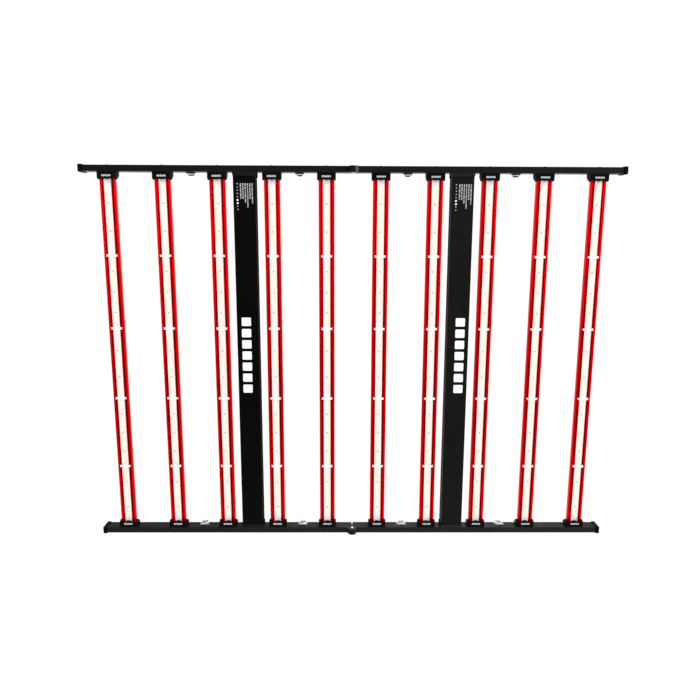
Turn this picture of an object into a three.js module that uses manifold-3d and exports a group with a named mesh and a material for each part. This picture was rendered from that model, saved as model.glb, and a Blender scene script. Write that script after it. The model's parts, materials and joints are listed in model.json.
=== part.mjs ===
// Ten-bar folding LED grow light, hung with its LEDs facing down (-Z).
// X runs along the cross rails (right is +X), Y along the light bars (far is +Y), Z is up.
// Origin: centre of the footprint, at the lowest point of the hinge knuckles. Millimetres.
import * as THREE from "three";
import { mergeVertices } from "three/addons/utils/BufferGeometryUtils.js";
import Module from "manifold-3d";

const wasm = await Module();
wasm.setup();

// ---------- driving dimensions ----------
const GAP = 0.3;                 // clearance between neighbouring pieces
const CUT = 5;                   // how far cutting bodies run past the surface they open
const WIDTH = 1660;              // overall in X, over the rail end caps

const RAIL_OUTER_Y = 593.5;      // outer face of each cross rail
const RAIL_WIDTH = 19;           // rail section in Y
const RAIL_HEIGHT = 42;          // rail section in Z
const RAIL_INNER_Y = RAIL_OUTER_Y - RAIL_WIDTH;

const KNUCKLE_R = 13.5;          // hinge knuckles, axis along Y
const HINGE_DROP = 2.6;          // hinge axis below the underside of the rails
const HINGE_Z = KNUCKLE_R;
const BOTTOM_Z = HINGE_Z + HINGE_DROP;     // underside of rails and driver housings
const RAIL_TOP_Z = BOTTOM_Z + RAIL_HEIGHT;

const BAR_X = [83, 249, 415, 581, 747];    // light bars each side of the hinge line
const HOUSING_X = 332;                     // driver housings
const RING_X = [166, 498];                 // hanging rings each side of the hinge line

// shared by the end caps and the rail necks under them
const CAP_LENGTH = 11;
const CAP_END = 3;               // thickness of the closed end
const NECK_DEPTH = 0.5;          // rail surface taken off under the cap

// shared by the hanging rings and their saddles
const RING_WIRE = 4;
const RING_AXIS_Y = RAIL_INNER_Y - 5;
const RING_AXIS_Z = RAIL_TOP_Z - 6.5;

// shared by the parts of a light bar
const BOARD_Z = BOTTOM_Z + 10;   // underside of the LED board
const BOARD_THICK = 1.6;
const LED_HEIGHT = 0.6;          // LED rows below the board
const BAR_HALF_W = 24.2;
const FIN_TOP = 24.5;            // middle fin tip above BOARD_Z
const SOCKET_LENGTH = 21.3;
const POCKET_DEPTH = 7;          // length of bar end taken into a socket
const SOCKET_OUT_Y = RAIL_INNER_Y - GAP;
const SOCKET_IN_Y = SOCKET_OUT_Y - SOCKET_LENGTH;
const SINK_END_Y = SOCKET_IN_Y + POCKET_DEPTH - GAP;

// shared by the driver housings and the drivers
const HOUSING_WALL = 2.2;
const HOUSING_TOP_Z = BOTTOM_Z + 48;

// the four corners of the frame
const CORNERS = [
  { end: "far", side: "right", signX: 1, signY: 1 },
  { end: "far", side: "left", signX: -1, signY: 1 },
  { end: "near", side: "right", signX: 1, signY: -1 },
  { end: "near", side: "left", signX: -1, signY: -1 },
];

// ---------- materials ----------
function finish(color, { roughness, metalness }) {
  return new THREE.MeshStandardMaterial({ color, roughness, metalness });
}
const black = () => finish(0x1c1d1b, { roughness: 0.5, metalness: 0.3 });
const plastic = () => finish(0x141514, { roughness: 0.6, metalness: 0 });
const red = () => finish(0xe0080c, { roughness: 0.34, metalness: 0.75 });
const white = () => finish(0xf7faf6, { roughness: 0.45, metalness: 0 });
const steel = () => finish(0xd6d2c4, { roughness: 0.25, metalness: 1 });
const grey = () => finish(0x9a9c9c, { roughness: 0.5, metalness: 0.8 });

// ---------- outlines: lists of [across, up] points ----------
// drops points that lie on the straight line between their neighbours
function path(points) {
  const count = points.length;
  const kept = points.filter(([x, y], i) => {
    const [beforeX, beforeY] = points[(i + count - 1) % count];
    const [afterX, afterY] = points[(i + 1) % count];
    const turn = (x - beforeX) * (afterY - beforeY) - (y - beforeY) * (afterX - beforeX);
    return Math.abs(turn) > 1e-6;
  });
  return kept.map(([x, y]) => new THREE.Vector2(x, y));
}

function arc(centreX, centreY, radius, steps, from, to) {
  return Array.from({ length: steps + 1 }, (_, i) => {
    const angle = from + ((to - from) * i) / steps;
    return [centreX + radius * Math.cos(angle), centreY + radius * Math.sin(angle)];
  });
}

function circle(centreX, centreY, radius, steps) {
  return arc(centreX, centreY, radius, steps, 0, 2 * Math.PI).slice(0, -1);
}

// rectangle about the origin with each corner rounded in two steps
function roundedOutline(halfW, halfH, radius) {
  const x = halfW - radius;
  const y = halfH - radius;
  return [[x, -y], [x, y], [-x, y], [-x, -y]].flatMap(([centreX, centreY], i) => {
    const from = ((i - 1) * Math.PI) / 2;
    return arc(centreX, centreY, radius, 2, from, from + Math.PI / 2);
  });
}

function chamferedOutline(halfW, bottom, top, chamfer) {
  return mirrored([
    [halfW - chamfer, bottom], [halfW, bottom + chamfer],
    [halfW, top - chamfer], [halfW - chamfer, top],
  ]);
}

// completes the right half of an outline, listed from the bottom up, with its mirror image
function mirrored(points) {
  const left = points.map(([x, y]) => [-x, y]).reverse();
  return [...points, ...left.filter(([x]) => Math.abs(x) > 1e-9)];
}

// turns heights above the underside of the LED board into Z
function fromBoard(points) {
  return points.map(([x, height]) => [x, BOARD_Z + height]);
}

// ---------- solids ----------
function solid(source) {
  const bare = source.clone();
  bare.deleteAttribute("normal");
  bare.deleteAttribute("uv");
  const merged = mergeVertices(bare, 1e-4);
  const vertProperties = new Float32Array(merged.attributes.position.array);
  const triVerts = new Uint32Array(merged.index.array);
  return new wasm.Manifold(new wasm.Mesh({ numProp: 3, vertProperties, triVerts }));
}

function geometryOf(body) {
  const mesh = body.getMesh();
  const positions = new Float32Array(mesh.vertProperties);
  const geometry = new THREE.BufferGeometry();
  geometry.setAttribute("position", new THREE.BufferAttribute(positions, 3));
  geometry.setIndex(new THREE.BufferAttribute(new Uint32Array(mesh.triVerts), 1));
  geometry.computeVertexNormals();
  return geometry;
}

function box(x0, x1, y0, y1, z0, z1) {
  const geometry = new THREE.BoxGeometry(x1 - x0, y1 - y0, z1 - z0);
  geometry.translate((x0 + x1) / 2, (y0 + y1) / 2, (z0 + z1) / 2);
  return solid(geometry);
}

function extrude(outline, depth, holes = [], bevel = { bevelEnabled: false }) {
  const shape = new THREE.Shape(path(outline));
  shape.holes.push(...holes.map((hole) => new THREE.Path(path(hole))));
  return new THREE.ExtrudeGeometry(shape, { depth, steps: 1, ...bevel });
}

const X_AXIS = new THREE.Vector3(1, 0, 0);
const Y_AXIS = new THREE.Vector3(0, 1, 0);
const Z_AXIS = new THREE.Vector3(0, 0, 1);
const TURN_TO_X = new THREE.Matrix4().makeBasis(Y_AXIS, Z_AXIS, X_AXIS);
const TURN_TO_Y = new THREE.Matrix4().makeBasis(X_AXIS, Z_AXIS, Y_AXIS.clone().negate());

// outline in Y and Z, run along X
function alongX(outline, x0, x1) {
  const geometry = extrude(outline, x1 - x0).applyMatrix4(TURN_TO_X);
  return solid(geometry.translate(x0, 0, 0));
}

// outline in X and Z, run along Y
function alongY(outline, y0, y1, holes, bevel) {
  const geometry = extrude(outline, y1 - y0, holes, bevel).applyMatrix4(TURN_TO_Y);
  return solid(geometry.translate(0, y1, 0));
}

// outline in X and Y, run along Z
function alongZ(outline, z0, z1) {
  return solid(extrude(outline, z1 - z0).translate(0, 0, z0));
}

// rod on the hinge axis
function hingeRod(radius, y0, y1, segments) {
  const geometry = new THREE.CylinderGeometry(radius, radius, y1 - y0, segments, 1);
  return solid(geometry.translate(0, (y0 + y1) / 2, HINGE_Z));
}

// mirror image in X where signX is -1, and in Y where signY is -1
function reflect(body, signX, signY) {
  return body.scale([signX, signY, 1]);
}

const group = new THREE.Group();
group.name = "led_grow_light";

function add(name, body, material, x = 0, y = 0, z = 0) {
  const mesh = new THREE.Mesh(geometryOf(body), material);
  mesh.name = name;
  mesh.position.set(x, y, z);
  group.add(mesh);
}

// ---------- cross rails: all built as the right half of the far rail ----------
const RAIL_WALL = 2.5;
const RAIL_CHAMFER = 1.2;
const RAIL_SOLID_END = 42;       // the rail is solid from the hinge to this X
const RAIL_END_X = WIDTH / 2 - CAP_END - GAP;
const NECK_X = WIDTH / 2 - CAP_LENGTH - 2 * GAP;
const V_HALF_W = 3.6;            // V between the two halves, open at the top
const V_DEPTH = 14;
const KNUCKLE_LENGTH = (RAIL_WIDTH - 2 * GAP) / 3;
const KNUCKLE_CLEARANCE = 0.5;
const PIN_R = 3.4;
const PIN_CLEARANCE = 0.25;
const PIN_PROJECTION = 1.6;      // pin past each face of the rail

// box over the rail section, drawn in from its faces by an inset
function railSectionBox(x0, x1, inset) {
  return box(
    x0, x1,
    RAIL_INNER_Y + inset, RAIL_OUTER_Y - inset,
    BOTTOM_Z + inset, RAIL_TOP_Z - inset,
  );
}

function railTube() {
  let tube = alongY([
    [GAP, BOTTOM_Z], [RAIL_END_X, BOTTOM_Z], [RAIL_END_X, RAIL_TOP_Z],
    [V_HALF_W, RAIL_TOP_Z], [GAP, RAIL_TOP_Z - V_DEPTH],
  ], RAIL_INNER_Y, RAIL_OUTER_Y);
  // the four lengthwise edges; the signs point into the section
  for (const [y, signY] of [[RAIL_INNER_Y, 1], [RAIL_OUTER_Y, -1]]) {
    for (const [z, signZ] of [[BOTTOM_Z, 1], [RAIL_TOP_Z, -1]]) {
      const reach = RAIL_CHAMFER + CUT;
      tube = tube.subtract(alongX([
        [y - signY * CUT, z - signZ * CUT],
        [y + signY * reach, z - signZ * CUT],
        [y - signY * CUT, z + signZ * reach],
      ], -WIDTH, WIDTH));
    }
  }
  const neckSleeve = railSectionBox(NECK_X, WIDTH, -CUT)
    .subtract(railSectionBox(0, 2 * WIDTH, NECK_DEPTH));
  return tube.subtract(neckSleeve)
    .subtract(railSectionBox(RAIL_SOLID_END, WIDTH, RAIL_WALL));
}

// one rail half carries the outer two knuckles and the pin, the other the bored middle one
function withKnuckles(tube, outerPair) {
  const innerEnd = RAIL_INNER_Y + KNUCKLE_LENGTH;
  const outerStart = RAIL_OUTER_Y - KNUCKLE_LENGTH;
  const pair = [[RAIL_INNER_Y, innerEnd], [outerStart, RAIL_OUTER_Y]];
  const own = outerPair ? pair : [[innerEnd + GAP, outerStart - GAP]];
  const cleared = outerPair
    ? [[innerEnd, outerStart]]
    : [[RAIL_INNER_Y - CUT, innerEnd + GAP], [outerStart - GAP, RAIL_OUTER_Y + CUT]];

  let rail = tube;
  for (const [y0, y1] of cleared) {
    rail = rail.subtract(hingeRod(KNUCKLE_R + KNUCKLE_CLEARANCE, y0, y1, 32));
  }
  for (const [y0, y1] of own) {
    rail = rail.add(hingeRod(KNUCKLE_R, y0, y1, 32));
    // web from the knuckle up into the rail end
    rail = rail.add(box(GAP, KNUCKLE_R + 4, y0, y1, HINGE_Z + 1, BOTTOM_Z + 8));
  }
  if (outerPair) {
    const y0 = RAIL_INNER_Y - PIN_PROJECTION;
    const y1 = RAIL_OUTER_Y + PIN_PROJECTION;
    return rail.add(hingeRod(PIN_R, y0, y1, 16));
  }
  const boreR = PIN_R + PIN_CLEARANCE;
  return rail.subtract(hingeRod(boreR, RAIL_INNER_Y - CUT, RAIL_OUTER_Y + CUT, 16));
}

// saddle for a hanging ring on the inner face: a plate with a bored lug
function withSaddle(rail, x) {
  const plateHalfW = 14;
  const plateTop = RAIL_TOP_Z - 1.2;
  const plateBottom = RAIL_TOP_Z - 23;
  const plateFace = RAIL_INNER_Y - 1.2;
  const root = RAIL_INNER_Y + 0.5;         // sunk into the rail wall
  const lugHalfW = 7.5;
  const lugR = 4.3;
  const boreR = RING_WIRE / 2 + 0.55;

  const plate = [
    [root, plateTop], [plateFace, plateTop], [plateFace, plateBottom], [root, plateBottom],
  ];
  const lug = [
    [root, RING_AXIS_Z + lugR],
    ...arc(RING_AXIS_Y, RING_AXIS_Z, lugR, 6, Math.PI / 2, 1.5 * Math.PI),
    [root, RING_AXIS_Z - lugR],
  ];
  const bore = circle(RING_AXIS_Y, RING_AXIS_Z, boreR, 12);
  return rail
    .add(alongX(plate, x - plateHalfW, x + plateHalfW))
    .add(alongX(lug, x - lugHalfW, x + lugHalfW))
    .subtract(alongX(bore, x - lugHalfW - 1.5, x + lugHalfW + 1.5));
}

function railHalf(outerPair) {
  return RING_X.reduce(withSaddle, withKnuckles(railTube(), outerPair));
}

const rails = { right: railHalf(false), left: railHalf(true) };
for (const { end, side, signX, signY } of CORNERS) {
  add(`rail_${end}_${side}`, reflect(rails[side], signX, signY), black());
}

// ---------- rail end caps: sleeves over the last of the rail, outer end at X = 0 ----------
function endCap() {
  const wall = 1.9;
  const lipLength = 1.2;         // last of the cap, stepped in all round
  const lipInset = 0.8;
  const fitY = RAIL_WIDTH / 2 + GAP;
  const fitZ = RAIL_HEIGHT / 2 + GAP;
  const halfY = fitY + wall;
  const halfZ = fitZ + wall;
  const sleeve = alongX(roundedOutline(halfY, halfZ, 2.6), -CAP_LENGTH, -lipLength);
  const lipOutline = roundedOutline(halfY - lipInset, halfZ - lipInset, 2);
  const lip = alongX(lipOutline, -lipLength - 0.01, 0);
  const boreY = fitY - NECK_DEPTH;
  const boreZ = fitZ - NECK_DEPTH;
  return sleeve.add(lip)
    .subtract(box(-CAP_LENGTH - CUT, -CAP_END, -boreY, boreY, -boreZ, boreZ));
}

const cap = endCap();
for (const { end, side, signX, signY } of CORNERS) {
  const y = (signY * (RAIL_INNER_Y + RAIL_OUTER_Y)) / 2;
  const z = (BOTTOM_Z + RAIL_TOP_Z) / 2;
  const body = reflect(cap, signX, signY);
  add(`end_cap_${end}_${side}`, body, plastic(), (signX * WIDTH) / 2, y, z);
}

// ---------- light bars ----------
// finned extrusion with a duct through its middle, open at both ends
function heatSink() {
  // right half: [X, height above the underside of the board]
  const profile = [
    [0, BOARD_THICK + GAP], [10.8, BOARD_THICK + GAP], [10.8, -0.4], [13.3, -0.4],
    [13.3, 8.6], [17.2, 8.6], [17.2, 0.9], [18, 0.1], [23.4, 0.1],
    [BAR_HALF_W, 0.9], [BAR_HALF_W, 11], [22.8, 11], [22.8, 2.1], [18.7, 2.1], [18.7, 11],
    // outer fin, inner fin, half of the middle fin
    [15, 11], [14.6, FIN_TOP - 1.5], [13.4, FIN_TOP - 1.5], [13, 11],
    [8, 11], [7.6, FIN_TOP - 0.5], [6.4, FIN_TOP - 0.5], [6, 11],
    [1, 11], [0.6, FIN_TOP],
  ];
  const duct = [[9.5, 4.2], [9.5, 8.8]];
  return alongY(mirrored(fromBoard(profile)), -SINK_END_Y, SINK_END_Y, [
    mirrored(fromBoard(duct)),
  ]);
}

// flat strip with two low rows for the LEDs, and clips hooked into the sink's grooves
function ledBoard() {
  const halfW = 10.5;
  const endY = SINK_END_Y - 0.5;
  const rowX = 4.7;
  const rowHalfW = 1.5;
  const clipY = [-323, -95.5, 132, 362];
  const clipLength = 11;
  const clipHalfW = 17;
  // right halves: [X, height above the underside of the board]
  const strip = [
    [rowX - rowHalfW, 0], [rowX - rowHalfW, -LED_HEIGHT],
    [rowX + rowHalfW, -LED_HEIGHT], [rowX + rowHalfW, 0],
    [halfW, 0], [halfW, BOARD_THICK],
  ];
  const clip = [
    [0, -2.3], [clipHalfW - 1.4, -2.3], [clipHalfW - 0.3, -1.4], [clipHalfW - 0.3, 7],
    [clipHalfW - 3.2, 7], [clipHalfW - 3.2, -0.8], [9.9, -0.8], [9.9, 0.4], [0, 0.4],
  ];
  let board = alongY(mirrored(fromBoard(strip)), -endY, endY);
  for (const y of clipY) {
    const clipOutline = mirrored(fromBoard(clip));
    board = board.add(alongY(clipOutline, y - clipLength / 2, y + clipLength / 2));
  }
  return board;
}

// end socket, built for the far end of a bar
function endSocket() {
  const halfW = 28.4;
  const bottom = BOTTOM_Z + 0.6;
  const top = BOTTOM_Z + 38;
  const noseZ = BOTTOM_Z + 20;   // height at the inner edge, before the slope up to the rail
  const slopeLength = 12.7;
  const bossHalfW = 8.2;         // full-depth part of the lower wall, under the board
  const bossTaper = 2.6;
  const wallThick = 2;           // lower wall each side of the boss
  const hollowEndY = SOCKET_IN_Y + 6;
  const pocketHalfW = BAR_HALF_W + GAP;
  const pocketBottom = BOARD_Z - LED_HEIGHT - GAP;
  const labelDepth = 0.5;

  const section = chamferedOutline(halfW, bottom, top, 2.2);
  let socket = alongY(section, SOCKET_IN_Y, SOCKET_OUT_Y);
  const cheek = box(
    pocketHalfW, halfW - 0.4, SOCKET_IN_Y - 2, SOCKET_IN_Y + 2, BOARD_Z - 1, noseZ - 4,
  );
  // thins the lower wall beside the boss; runs 0.1 up into the pocket
  const hollow = alongZ([
    [bossHalfW, hollowEndY], [bossHalfW - bossTaper, SOCKET_IN_Y - 1],
    [halfW + 1, SOCKET_IN_Y - 1], [halfW + 1, SOCKET_IN_Y + 1],
    [pocketHalfW, SOCKET_IN_Y + 1], [pocketHalfW, hollowEndY],
  ], bottom + wallThick, pocketBottom + 0.1);
  for (const sign of [1, -1]) {
    socket = socket.add(reflect(cheek, sign, 1)).subtract(reflect(hollow, sign, 1));
  }
  // upper face slopes down towards the bar
  socket = socket.subtract(alongX([
    [SOCKET_IN_Y - CUT, noseZ], [SOCKET_IN_Y, noseZ], [SOCKET_IN_Y + slopeLength, top],
    [SOCKET_IN_Y + slopeLength, top + CUT], [SOCKET_IN_Y - CUT, top + CUT],
  ], -halfW - CUT, halfW + CUT));
  const pocket = box(
    -pocketHalfW, pocketHalfW,
    SOCKET_IN_Y - CUT, SOCKET_IN_Y + POCKET_DEPTH,
    pocketBottom, BOARD_Z + FIN_TOP + GAP,
  );
  // label recess in the underside
  const label = box(
    -15, 15, SOCKET_OUT_Y - 16, SOCKET_OUT_Y - 7.5, bottom - CUT, bottom + labelDepth,
  );
  return socket.subtract(pocket).subtract(label);
}

const sink = heatSink();
const board = ledBoard();
const socketFar = endSocket();
const socketNear = reflect(socketFar, 1, -1);
const barCentres = [...BAR_X.map((x) => -x).reverse(), ...BAR_X];
barCentres.forEach((x, i) => {
  const id = String(i + 1).padStart(2, "0");
  add(`heat_sink_${id}`, sink, red(), x);
  add(`led_board_${id}`, board, white(), x);
  add(`socket_far_${id}`, socketFar, plastic(), x);
  add(`socket_near_${id}`, socketNear, plastic(), x);
});

// ---------- driver housings with their end brackets ----------
function driverHousing() {
  const halfW = 67.6 / 2;
  const chamfer = 1.6;
  const grooveDepth = 1.2;       // groove along each side at mid height
  const midZ = (BOTTOM_Z + HOUSING_TOP_Z) / 2;
  const bracketEndY = RAIL_INNER_Y - GAP;
  const tubeEndY = bracketEndY - 12;
  const bracketHalfW = halfW + 2.4;
  const earHalfW = bracketHalfW + 1.2;

  const section = mirrored([
    [0, BOTTOM_Z], [halfW - chamfer, BOTTOM_Z], [halfW, BOTTOM_Z + chamfer],
    [halfW, midZ - 3], [halfW - grooveDepth, midZ - 2.2],
    [halfW - grooveDepth, midZ + 2.2], [halfW, midZ + 3],
    [halfW, HOUSING_TOP_Z - chamfer], [halfW - chamfer, HOUSING_TOP_Z], [0, HOUSING_TOP_Z],
  ]);
  let housing = alongY(section, -tubeEndY - 1, tubeEndY + 1);

  const bracket = alongZ(mirrored([
    [halfW, tubeEndY], [bracketHalfW, bracketEndY - 3], [bracketHalfW, bracketEndY],
  ]), BOTTOM_Z, RAIL_TOP_Z - 1);
  // ears against the rail near its top
  const ears = box(
    -earHalfW, earHalfW, bracketEndY - 14, bracketEndY, RAIL_TOP_Z - 12, RAIL_TOP_Z - 5,
  );
  // shallow step across the underside, between tube and bracket
  const step = box(
    -halfW - CUT, halfW + CUT, tubeEndY - 1.2, tubeEndY, BOTTOM_Z - CUT, BOTTOM_Z + 0.6,
  );
  for (const sign of [1, -1]) {
    housing = housing
      .add(reflect(bracket, 1, sign))
      .add(reflect(ears, 1, sign))
      .subtract(reflect(step, 1, sign));
  }

  // cavity: a long low part reaching into the brackets, a shorter full-height part
  const cavityHalfW = halfW - HOUSING_WALL - grooveDepth;
  for (const [endY, top] of [[bracketEndY - 5, RAIL_TOP_Z], [tubeEndY - 1, HOUSING_TOP_Z]]) {
    housing = housing.subtract(box(
      -cavityHalfW, cavityHalfW, -endY, endY, BOTTOM_Z + HOUSING_WALL, top - HOUSING_WALL,
    ));
  }
  return housing.subtract(cableEntry());
}

// round hole down through the top wall, towards the near end
function cableEntry() {
  const radius = 9;
  const length = 12;
  const y = -470;
  const geometry = new THREE.CylinderGeometry(radius, radius, length, 20, 1);
  return solid(geometry.rotateX(Math.PI / 2).translate(0, y, HOUSING_TOP_Z));
}

// driver: case lying under the top wall of the housing, with a notch below each end
function ledDriver() {
  const halfW = 56 / 2;
  const height = 38;
  const halfLength = 880 / 2;
  const notch = 12;              // along Y and up
  const notchHalfW = halfW - 6;
  const top = HOUSING_TOP_Z - HOUSING_WALL - GAP;
  const bottom = top - height;
  const body = alongY(chamferedOutline(halfW, bottom, top, 2.5), -halfLength, halfLength);
  const endNotch = box(
    -notchHalfW, notchHalfW, halfLength - notch, halfLength + CUT, bottom - CUT, bottom + notch,
  );
  return body.subtract(reflect(endNotch, 1, -1)).subtract(endNotch);
}

const DRIVER_Y = 18;             // driver centre, off the middle towards the far end
const housing = driverHousing();
const driver = ledDriver();
add("driver_housing_left", housing, black(), -HOUSING_X);
add("driver_housing_right", housing, black(), HOUSING_X);
add("led_driver_left", driver, grey(), -HOUSING_X, DRIVER_Y);
add("led_driver_right", driver, grey(), HOUSING_X, DRIVER_Y);

// ---------- hanging rings: D shape, its straight side on the pivot axis at Z = 0 ----------
function hangingRing() {
  const halfW = 13;
  const drop = 21;               // pivot axis to the lowest point
  const chamfer = 1.2;           // upper corners of the outline
  const bevel = 1.15;            // edges of the wire
  const halfWire = RING_WIRE / 2;
  const innerHalfW = halfW - RING_WIRE;
  const arcZ = halfW - drop;
  const outer = [
    [-halfW, halfWire - chamfer],
    ...arc(0, arcZ, halfW, 10, Math.PI, 2 * Math.PI),
    [halfW, halfWire - chamfer], [halfW - chamfer, halfWire], [-halfW + chamfer, halfWire],
  ];
  const inner = [
    [-innerHalfW, -halfWire],
    ...arc(0, arcZ, innerHalfW, 10, Math.PI, 2 * Math.PI),
    [innerHalfW, -halfWire],
  ];
  // the bevels add to the extruded depth and make up the full wire thickness
  return alongY(outer, bevel - halfWire, halfWire - bevel, [inner], {
    bevelEnabled: true,
    bevelThickness: bevel,
    bevelSize: bevel,
    bevelOffset: -bevel,
    bevelSegments: 1,
  });
}

const ring = hangingRing();
for (const { end, side, signX, signY } of [...CORNERS].reverse()) {
  ["inner", "outer"].forEach((place, i) => {
    const name = `hanging_ring_${end}_${side}_${place}`;
    add(name, ring, steel(), signX * RING_X[i], signY * RING_AXIS_Y, RING_AXIS_Z);
  });
}

export default group;
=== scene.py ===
"""Folding LED light: ten light bars held between two rails, hung level from eight rings.

The bars run along Y. The rails run along X, the near one at -Y and the far one at +Y. The
LEDs face down, so "front" is -Z and "back" is +Z, towards the ceiling. The light folds about
a hinge along Y at x = 0, between its left (-X) and right (+X) halves.
Meshes are written in millimetres; materials, lights and camera are in metres.
"""
import json
import math
import random

import bpy
import bmesh
from mathutils import Matrix, Vector
from mathutils.geometry import tessellate_polygon

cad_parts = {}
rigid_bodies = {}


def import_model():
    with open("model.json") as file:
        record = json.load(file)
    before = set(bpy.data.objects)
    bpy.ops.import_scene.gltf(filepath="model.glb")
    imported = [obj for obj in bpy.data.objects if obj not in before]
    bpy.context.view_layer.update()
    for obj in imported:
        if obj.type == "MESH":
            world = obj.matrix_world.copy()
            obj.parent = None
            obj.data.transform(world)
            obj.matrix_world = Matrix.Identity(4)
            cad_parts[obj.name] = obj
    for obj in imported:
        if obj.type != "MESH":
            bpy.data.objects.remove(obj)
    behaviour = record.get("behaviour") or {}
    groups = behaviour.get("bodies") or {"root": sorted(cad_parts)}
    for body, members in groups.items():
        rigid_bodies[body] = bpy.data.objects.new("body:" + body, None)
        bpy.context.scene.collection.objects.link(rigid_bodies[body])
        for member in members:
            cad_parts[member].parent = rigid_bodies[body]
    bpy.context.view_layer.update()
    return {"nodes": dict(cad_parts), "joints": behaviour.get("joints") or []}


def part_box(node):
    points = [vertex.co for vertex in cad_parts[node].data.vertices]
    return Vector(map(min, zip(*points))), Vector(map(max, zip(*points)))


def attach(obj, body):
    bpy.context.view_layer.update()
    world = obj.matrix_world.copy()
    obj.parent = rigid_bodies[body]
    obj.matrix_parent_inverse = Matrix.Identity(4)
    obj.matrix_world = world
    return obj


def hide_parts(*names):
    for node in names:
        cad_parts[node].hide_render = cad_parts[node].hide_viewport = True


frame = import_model()
nodes = frame["nodes"]
scene = bpy.context.scene
MM = 0.001
random.seed(7)


# ------------------------------------------------------------------ outlines
def rounded(x0, x1, y0, y1, radius, steps=4):
    """Rectangle with rounded corners, anticlockwise from the lower right."""
    corners = ((x1 - radius, y0 + radius, -90), (x1 - radius, y1 - radius, 0),
               (x0 + radius, y1 - radius, 90), (x0 + radius, y0 + radius, 180))
    points = []
    for x, y, start in corners:
        for i in range(steps + 1):
            angle = math.radians(start + 90 * i / steps)
            points.append((x + radius * math.cos(angle), y + radius * math.sin(angle)))
    return points


def arc(x, y, radius, degrees):
    """Points round (x, y) at each of the given angles."""
    return [(x + radius * math.cos(math.radians(a)), y + radius * math.sin(math.radians(a)))
            for a in degrees]


def circle(radius, count):
    angles = [2 * math.pi * i / count for i in range(count)]
    return [(radius * math.cos(a), radius * math.sin(a)) for a in angles]


def shifted(outline, x, z):
    return [(x + dx, z + dz) for dx, dz in outline]


def bands(rings, count, closed=False):
    """Quads that join each ring of count points to the next."""
    faces = []
    for k in range(rings if closed else rings - 1):
        here, after = k * count, (k + 1) % rings * count
        for i in range(count):
            j = (i + 1) % count
            faces.append((here + i, here + j, after + j, after + i))
    return faces


def axis_frame(axis):
    """The unit axis and two directions square to it."""
    along = Vector(axis).normalized()
    across = along.orthogonal().normalized()
    return along, across, along.cross(across)


# ------------------------------------------------------------------ mesh builder
# Screw heads, as shares of the head's radius or height
HEAD_DOME = ((1.0, 0.12), (0.97, 0.42), (0.86, 0.74), (0.7, 0.93), (0.56, 1.0))  # radius, height
HEAD_SKIRT = 0.97
HEAD_FLAT = 0.56
HEAD_SUNK = 0.25  # millimetres below the face
CROSS_REACH, CROSS_HALF = 0.46, 0.11
HEX_RADIUS = 0.44
RECESS_DEPTH, RECESS_TAPER = 0.55, 0.8


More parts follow.
